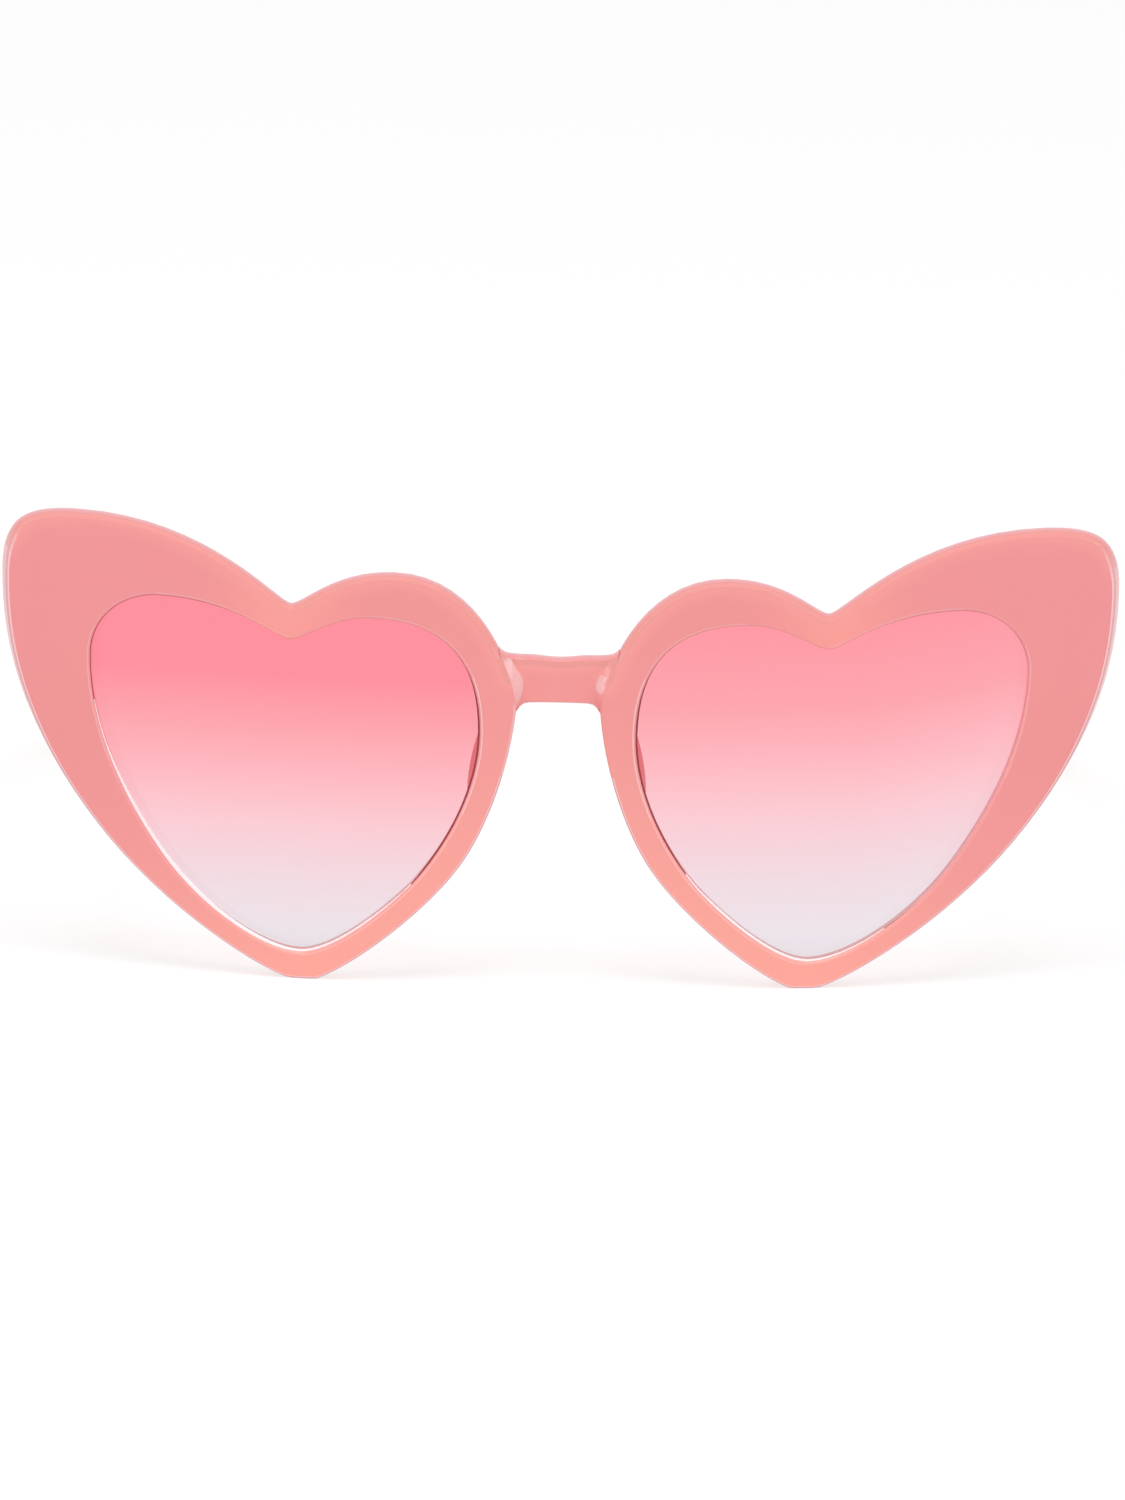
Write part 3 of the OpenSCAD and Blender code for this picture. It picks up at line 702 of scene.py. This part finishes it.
class SUNGLASSES_OT_front(bpy.types.Operator):
    """Builds the front with its bridge, hinge seats and nose pads"""
    bl_idname = "sunglasses.front"
    bl_label = "Front"

    def heart(self, s, at):
        outer = [(x, max(z, 0)) for x, z in heart_points(s, at)]
        band = ring("front_shell", outer, lens_points(s, at), BAND_CUTS)
        thicken(band, (0, s.front_t, 0))
        for vertex, point, slid in zip(band.data.vertices, outer, grown(outer, -s.wing_draft)):
            away = (Vector(point) - Vector(slid)).normalized().x
            share = share_past(away, ASIDE_FROM, ASIDE_OVER) if point[0] > at.lens_middle.x else 0
            vertex.co.x += (slid[0] - point[0]) * share
            vertex.co.z += (slid[1] - point[1]) * share

        def share_of(middle, faces):
            wall = min(faces, key=lambda face: abs(face.normal.y))
            if wall.normal.dot(middle - at.lens_middle) < 0:
                return s.opening_round / s.top_round
            if middle.x < at.nasal_x and abs(middle.z - at.bridge_z) < s.bridge_h / 2:
                return 0.0
            upwards = share_past(wall.normal.z, UP_FROM, UP_OVER)
            aside = share_past(wall.normal.x, ASIDE_FROM, ASIDE_OVER)
            return (s.outer_round + max((s.top_round - s.outer_round) * upwards,
                                        (s.side_round - s.outer_round) * aside)) / s.top_round

        round_edges(band, s.top_round, share_of, segments=4)
        bend(band, s, at)
        return band

    def bridge(self, s, at):
        top = chain(BRIDGE_TOP_SHARES, closed=False)
        low = chain(BRIDGE_LOW_SHARES, closed=False)[::-1]
        nose_side = sorted((z, x) for x, z in heart_points(s, at) if x < at.nasal_x)
        reach = BRIDGE_TOP_SHARES[-1][0] * at.half_gap
        back = s.front_t - BAR_BACK_IN
        depths = [(FACET_IN_SHARE, s.bridge_in), (FACET_OUT_SHARE, BAR_RIM_IN), (1, BAR_END_IN)]
        bar = fresh(bpy.ops.mesh.primitive_grid_add, x_subdivisions=BAR_ACROSS, y_subdivisions=BAR_UP, size=1)
        for vertex in bar.data.vertices:
            side = 1 if vertex.co.x > 0 else -1
            out, up = 2 * abs(vertex.co.x), vertex.co.y + 0.5
            rim_x = between(nose_side, at.bridge_z + vertex.co.y * s.bridge_h) + BAR_LAP
            facet = between(LEFT_FACET_SHARES if side > 0 else RIGHT_FACET_SHARES, up) * s.facet_w
            x = between([(0, 0), (FACET_IN_SHARE, rim_x - facet), (FACET_OUT_SHARE, rim_x), (1, reach)], out)
            bottom, high = between(low, x / at.half_gap), between(top, x / at.half_gap)
            z = at.bridge_z + (bottom + (high - bottom) * up) * s.bridge_h
            vertex.co = (side * x, between(depths, out), z)
        thicken(bar, (0, back, 0))
        for vertex in bar.data.vertices:
            vertex.co.y = min(vertex.co.y, back)
        round_edges(bar, s.outer_round, segments=3,
                    share_of=lambda middle, faces: any(abs(face.normal.z) > BAR_LEVEL for face in faces))
        bend(bar, s, at)
        return bar

    def seat(self, s, at):
        low_x, high_x = at.leaf_end_x - s.seat_margin, at.out_x
        front_y = at.face_y + setback(s, low_x) + s.front_t / 2
        middle_y = (front_y + at.seat_y) / 2
        block = fresh(bpy.ops.mesh.primitive_cube_add, size=1,
                      scale=(high_x - low_x, at.seat_y - front_y, s.temple_h),
                      location=((low_x + high_x) / 2, middle_y, at.hinge.z))
        bpy.ops.object.transform_apply()
        round_edges(block, s.seat_round, segments=6,
                    share_of=lambda middle, faces: all(abs(face.normal.y) < HARDLY for face in faces))
        round_edges(block, SEAT_EDGE, segments=3,
                    share_of=lambda middle, faces: any(face.normal.y > FACING for face in faces))
        cutter = draw_outline("cutter", grown(lens_points(s, at), s.seat_margin), fill="NGON")
        thicken(cutter, (0, CUT_DEPTH, 0))
        for vertex in cutter.data.vertices:
            vertex.co.y -= CUT_DEPTH
        unite(block, [cutter], "DIFFERENCE")
        # The front side of the seat follows the middle of the bent front.
        slice_across(block, low_x, high_x - low_x, SEAT_SLICES)
        for vertex in block.data.vertices:
            if vertex.co.y < middle_y:
                vertex.co.y = at.face_y + setback(s, vertex.co.x) + s.front_t / 2
        return block

    def pad(self, s, at):
        back = (s.front_t - s.lens_in - s.lens_t + s.pad_reach) / math.cos(s.pad_splay)
        points = chain([(r[0] * back, r[1] * s.pad_len) for r in PAD_SHARES], closed=False, steps=PAD_STEPS)
        pad = draw_outline("pad", points, fill="NGON")
        pad.data.transform(Matrix.Rotation(math.pi / 2, 4, "Z"))
        thicken(pad, (s.pad_t, 0, 0))
        round_edges(pad, PAD_ROUND_SHARE * s.pad_t, lambda middle, faces: middle.y > PAD_FOOT, segments=5)
        foot = (at.half_gap + PAD_X_SHARE * s.rim_w, at.face_y + s.lens_in + s.lens_t,
                at.rim_foot + PAD_Z_SHARE * s.lens_h)
        pad.data.transform(Matrix.Translation(foot) @ Matrix.Rotation(-s.pad_splay, 4, "Z")
                           @ Matrix.Rotation(-s.pad_lean, 4, "Y"))
        return pad

    def mark_edges(self, front, s, at):
        """Marks how far each rounded edge of the face turns away, how strong the painted highlight is there
        and on the bridge's facets, and the edges that face up, which the polishing leaves satin."""
        marks = front.data.attributes
        thin, turn, satin = (marks.new(name, "FLOAT", "FACE") for name in (EDGE_LIGHT_MARK, TURN_MARK, SATIN_MARK))
        for face in front.data.polygons:
            x, z = face.center.x, face.center.z
            out = Vector((x, face.center.y - at.face_y - s.bend_r, 0))
            depth = s.bend_r - out.length
            slant = face.normal.dot(out.normalized())
            if depth > s.front_t or abs(slant) > FLAT_SLANT:
                continue
            side = (face.normal - out.normalized() * slant).normalized()
            from_lens = Vector((x - math.copysign(at.lens_middle.x, x), 0, z - at.lens_middle.z))
            # How strongly a painted highlight shows on this face
            highlight, upwards = 0, 0
            # The bridge's facets get a painted highlight where the side lamps glint on them.
            if FACET_START < abs(x) < FACET_END and abs(face.normal.z) < HARDLY:
                glint = x < 0 or (0 < x - GLINT_X < GLINT_W and abs(z - GLINT_Z) < GLINT_H / 2)
                thin.data[face.index].value = FACET_HIGHLIGHT if glint and slant > HARDLY else 0
                turn.data[face.index].value = 1
                continue
            if side.dot(from_lens) < 0:
                if slant > HARDLY:
                    highlight = NOSE_HIGHLIGHT if side.x * x > 0 else WING_HIGHLIGHT
                    highlight *= LEVEL_HIGHLIGHT_SHARE if abs(side.z) > LEVEL_TURN else 1
                    highlight *= 1 if slant > FACING else BACK_HIGHLIGHT_SHARE
            else:
                upwards = share_past(side.z, SATIN_FROM, SATIN_OVER)
                highlight = 1 - upwards if depth < HIGHLIGHT_REACH and slant > WALL_SLANT else 0
            thin.data[face.index].value = highlight
            satin.data[face.index].value = upwards * share_past(1 - slant, 0, SATIN_SLANT)
            turn.data[face.index].value = 1 - slant

    def mark_top_light(self, front, s, at):
        """Marks how near each vertex is to an edge that faces up, and then how deep it lies, for the painted
        light from above.
        """
        top_light = front.data.attributes.new(TOP_LIGHT_MARK, "FLOAT", "POINT")
        tops = [Vector((x * at.half_gap, at.bridge_z + z * s.bridge_h))
                for x, z in chain(BRIDGE_TOP_SHARES, closed=False)]
        outline = heart_points(s, at)
        for i, point in enumerate(outline):
            way = Vector(outline[(i + 1) % len(outline)]) - Vector(outline[i - 1])
            if way.normalized().x > HARDLY:
                tops.append(Vector(point))
        for vertex in front.data.vertices:
            place = Vector((abs(vertex.co.x), vertex.co.z))
            near = max(0, 1 - min((top - place).length for top in tops) / TOP_LIGHT_W)
            depth = s.bend_r - math.hypot(vertex.co.x, vertex.co.y - at.face_y - s.bend_r)
            top_light.data[vertex.index].value = near * (
                TOP_LIGHT_SPLIT + (1 - TOP_LIGHT_SPLIT) * share_past(depth, 0, s.front_t))

    def execute(self, context):
        s = context.scene.sunglasses_sizes
        at = Places(s)
        front = self.heart(s, at)
        unite(front, [self.seat(s, at), self.pad(s, at)])
        other = mirrored(front, "other")
        unite(front, [other, self.bridge(s, at)])
        shade(front)
        self.mark_edges(front, s, at)
        self.mark_top_light(front, s, at)
        cover(front, [moulded_polycarbonate()], "front", "frame_plastic", "front_frame")
        return {"FINISHED"}


class SUNGLASSES_OT_lenses(bpy.types.Operator):
    """Builds the two graded lenses"""
    bl_idname = "sunglasses.lenses"
    bl_label = "Lenses"

    def plate(self, name, s, at, widths, white):
        """One lens, with its edge showing inside the opening as wide as the table says."""
        opening = lens_points(s, at)
        outer = grown(opening, s.lens_hold)
        shown = [between(widths, n / CURVE_STEPS) * MM for n in range(len(opening))]
        inner = [tuple(here - (far - here) * width / s.lens_hold for here, far in zip(*pair))
                 for *pair, width in zip(opening, outer, shown)]
        plate = ring(name, outer, inner)
        rim = len(outer)
        edit(plate, "DESELECT")
        done()
        for vertex in plate.data.vertices:
            vertex.select = vertex.index >= rim
        bpy.ops.object.mode_set(mode="EDIT")
        bpy.ops.mesh.edge_face_add()
        done()
        for face in plate.data.polygons:
            if len(face.vertices) == 4:
                place = min(face.vertices) / CURVE_STEPS
                face.material_index = 1 if white[0] < place < white[1] else 2
        for vertex in plate.data.vertices:
            vertex.co.y = s.lens_in
        thicken(plate, (0, s.lens_t, 0))
        for i, (x, z) in enumerate(grown(opening, EDGE_HOLD)):
            plate.data.vertices[i].co = (x, EDGE_DEPTH, z)
        slice_across(plate, at.nasal_x, s.lens_w, LENS_SLICES)
        for face in plate.data.polygons:
            if face.center.y > s.lens_in + s.lens_t / 2:
                face.material_index = 0
        bend(plate, s, at)
        return plate

    def execute(self, context):
        s = context.scene.sunglasses_sizes
        at = Places(s)
        finish = context.scene.sunglasses_finish
        left = self.plate("left_lens_plate", s, at, LEFT_EDGE, LEFT_WHITE)
        drawn = self.plate("drawn_lens", s, at, RIGHT_EDGE, RIGHT_WHITE)
        right = mirrored(drawn, "right_lens_plate")
        bpy.data.objects.remove(drawn)
        # The lens edges are painted: white as a reflection of the light, and dark as the groove's shadow.
        edges = [lens_edge("painted_reflection_polycarbonate", finish.edge_reflection_white, roughness=0.5),
                 lens_edge("shaded_polycarbonate", finish.groove_shade, roughness=0.4)]
        low, high, tilt_x = at.rim_foot, at.rim_foot + s.lens_h, at.lens_middle.x + TILT_FROM
        # The left lens was dipped less deep than the right one, and least at its outer side.
        for piece, side, lift, stretch, full, tilt in (
                (left, "left", s.dip_lift, s.dip_stretch, LEFT_FULL_SHARE, s.dip_tilt),
                (right, "right", 0, 0, RIGHT_FULL_SHARE, 0)):
            shade(piece)
            dye = graded_polycarbonate(side, low + lift, high + lift + stretch, full, tilt, tilt_x)
            cover(piece, [dye] + edges, "front", "lens_plastic", side + "_lens")
        return {"FINISHED"}


class SUNGLASSES_OT_temples(bpy.types.Operator):
    """Builds the two temples"""
    bl_idname = "sunglasses.temples"
    bl_label = "Temples"

    def outline(self, s, at):
        shaft = Vector((math.cos(s.temple_slope), -math.sin(s.temple_slope)))
        drop = Vector((math.cos(s.drop_slope), -math.sin(s.drop_slope)))
        drop_len = (at.hinge.z - s.temple_len * math.sin(s.temple_slope) - s.tip_r) / math.sin(s.drop_slope)
        corner = s.temple_len * shaft
        start, end = corner - s.bend_len * shaft, corner + s.bend_len * drop
        tip = corner + drop_len * drop
        bend_share = 1 - s.bend_len / s.temple_len

        def half(share):
            return s.temple_h / 2 - (s.temple_h - s.temple_ear_h) / 2 * between(TAPER_SHARES, share)

        rows = []
        for n in range(CURVE_STEPS):
            share = LEAD_SHARE + (bend_share - LEAD_SHARE) * n / CURVE_STEPS
            rows.append((share * s.temple_len * shaft, half(share) * shaft.orthogonal()))
        pulls = [start, start + BEND_PULL_SHARE * (corner - start),
                 end + BEND_PULL_SHARE * (corner - end), end]
        for n in range(CURVE_STEPS + 1):
            t = n / CURVE_STEPS
            out = ((1 - t) * shaft + t * drop).normalized().orthogonal()
            width = (1 - t) * half(bend_share) + t * TIP_SWELL_SHARE * s.tip_r
            rows.append((Vector(on_curve(pulls, t)), width * out))
        upper = [place + out for place, out in rows]
        lower = [place - out for place, out in reversed(rows)]
        turns = [math.pi / 2 - s.drop_slope - math.pi * n / CURVE_STEPS for n in range(CURVE_STEPS + 1)]
        end_arc = [tip + s.tip_r * Vector((math.cos(turn), math.sin(turn))) for turn in turns]
        return [tuple(point) for point in upper + end_arc + lower]

    def execute(self, context):
        s = context.scene.sunglasses_sizes
        at = Places(s)
        left = draw_outline("left_temple_shell", self.outline(s, at), fill="NGON")
        left.data.transform(Matrix.Rotation(math.pi / 2, 4, "Z"))
        thicken(left, (s.temple_t, 0, 0))
        left.data.transform(Matrix.Translation(at.hinge) @ Matrix.Rotation(s.temple_close, 4, "Z")
                            @ Matrix.Translation((s.hinge_set, 0, 0)))
        edit(left)
        bpy.ops.mesh.bisect(plane_co=(0, at.seat_y + s.butt_gap, 0), plane_no=(0, 1, 0),
                            use_fill=True, clear_inner=True)
        done()

        def share_of(middle, faces):
            return BUTT_ROUND_SHARE if any(face.normal.y < -FACING for face in faces) else 1

        round_edges(left, s.temple_round, share_of, segments=4)
        right = mirrored(left, "right_temple_shell")
        for piece, side in ((left, "left"), (right, "right")):
            shade(piece)
            cover(piece, [moulded_polycarbonate()], side + "_arm", "frame_plastic", side + "_temple")
        return {"FINISHED"}


class SUNGLASSES_OT_hinges(bpy.types.Operator):
    """Gives the hinge leaves and their screws their steel"""
    bl_idname = "sunglasses.hinges"
    bl_label = "Hinges"

    def execute(self, context):
        steel = turned_steel()
        for name, node in frame["nodes"].items():
            if "leaf" in name or "screw" in name:
                node.data.materials.clear()
                node.data.materials.append(steel)
        return {"FINISHED"}


def looked_at(tree):
    """1 where the camera, a mirror or glass looks at a surface, and 0 where it only sends out light."""
    rays = add_node(tree, "ShaderNodeLightPath")
    seen = add_node(tree, "ShaderNodeMath", operation="MAXIMUM",
                    links={0: (rays, "Is Camera Ray"), 1: (rays, "Is Glossy Ray")})
    return add_node(tree, "ShaderNodeMath", operation="MAXIMUM",
                    links={0: seen, 1: (rays, "Is Transmission Ray")})


class SUNGLASSES_OT_stage(bpy.types.Operator):
    """Sets up the floor, the light and the camera"""
    bl_idname = "sunglasses.stage"
    bl_label = "Stage"

    def paper(self, stage):
        """Matt white paper, on which the object leaves a faint shadow."""
        material, tree = new_material("matt_white_paper")
        seen = looked_at(tree)
        glow = add_node(tree, "ShaderNodeEmission", values={"Color": WHITE, "Strength": PAPER_GLOW})
        matt = add_node(tree, "ShaderNodeBsdfDiffuse", values={"Color": opaque(stage.paper)})
        thin = add_node(tree, "ShaderNodeBsdfDiffuse", values={"Color": opaque([PAPER_GREY] * 3)})
        lit = add_node(tree, "ShaderNodeAddShader", links={0: glow, 1: thin})
        both = add_node(tree, "ShaderNodeMixShader", links={0: seen, 1: matt, 2: lit})
        add_node(tree, "ShaderNodeOutputMaterial", links={"Surface": both})
        return material

    def floor(self, stage):
        floor = fresh(bpy.ops.mesh.primitive_plane_add, size=PAPER_W)
        floor.name = "paper_floor"
        floor.data.materials.append(self.paper(stage))

    def sky(self, stage):
        world = bpy.data.worlds.new("studio")
        bpy.context.scene.world = world
        world.use_nodes = True
        tree = world.node_tree
        tree.nodes.clear()
        seen = looked_at(tree)
        backdrop = add_node(tree, "ShaderNodeBackground", values={"Color": WHITE})
        light = add_node(tree, "ShaderNodeBackground", values={"Color": WHITE, "Strength": stage.ambient})
        both = add_node(tree, "ShaderNodeMixShader", links={0: seen, 1: light, 2: backdrop})
        add_node(tree, "ShaderNodeOutputWorld", links={"Surface": both})

    def lamp(self, name, place, size, power):
        lamp = fresh(bpy.ops.object.light_add, type="AREA", location=place)
        lamp.name = name
        lamp.data.shape = "RECTANGLE"
        lamp.data.size, lamp.data.size_y = size
        lamp.data.energy = power
        lamp.rotation_euler = (-Vector(place)).to_track_quat("-Z", "Y").to_euler()

    def camera(self, stage, at):
        camera = fresh(bpy.ops.object.camera_add)
        turn = Matrix.Rotation(math.pi / 2 - stage.elevation, 4, "X") @ Matrix.Rotation(stage.roll, 4, "Z")
        camera.matrix_world = (Matrix.Translation((stage.aim_x, at.face_y + AIM_DEPTH, stage.aim_z)) @ turn
                               @ Matrix.Translation((0, 0, stage.distance)))
        camera.data.sensor_fit = "VERTICAL"
        camera.data.sensor_height = SENSOR_H
        camera.data.lens = SENSOR_H * stage.distance / stage.view_h
        bpy.context.scene.camera = camera

    def execute(self, context):
        stage = context.scene.sunglasses_stage
        at = Places(context.scene.sunglasses_sizes)
        self.floor(stage)
        self.sky(stage)
        for name, settings in LAMPS.items():
            self.lamp(name, *settings)
        self.camera(stage, at)
        context.scene.view_settings.view_transform = "Standard"
        return {"FINISHED"}


class SUNGLASSES_PT_sidebar(bpy.types.Panel):
    """Lists the pieces of the sunglasses and their settings"""
    bl_idname = "SUNGLASSES_PT_sidebar"
    bl_label = "Heart Sunglasses"
    bl_space_type = "VIEW_3D"
    bl_region_type = "UI"
    bl_category = "Sunglasses"

    def draw(self, context):
        for operator in OPERATORS:
            self.layout.operator(operator.bl_idname)
        for place, group in GROUPS.items():
            box = self.layout.box()
            for name in group.__annotations__:
                box.prop(getattr(context.scene, place), name)


GROUPS = {"sunglasses_sizes": SunglassesSizes, "sunglasses_finish": SunglassesFinish,
          "sunglasses_stage": SunglassesStage}
OPERATORS = (SUNGLASSES_OT_front, SUNGLASSES_OT_lenses, SUNGLASSES_OT_temples, SUNGLASSES_OT_hinges,
             SUNGLASSES_OT_stage)
CLASSES = (*GROUPS.values(), *OPERATORS, SUNGLASSES_PT_sidebar)


def register():
    for item in CLASSES:
        bpy.utils.register_class(item)
    for name, group in GROUPS.items():
        setattr(bpy.types.Scene, name, PointerProperty(type=group))


def unregister():
    for name in GROUPS:
        delattr(bpy.types.Scene, name)
    for item in reversed(CLASSES):
        bpy.utils.unregister_class(item)


def main():
    register()
    bpy.ops.sunglasses.front()
    bpy.ops.sunglasses.lenses()
    bpy.ops.sunglasses.temples()
    bpy.ops.sunglasses.hinges()
    bpy.ops.sunglasses.stage()


if __name__ == "__main__":
    main()
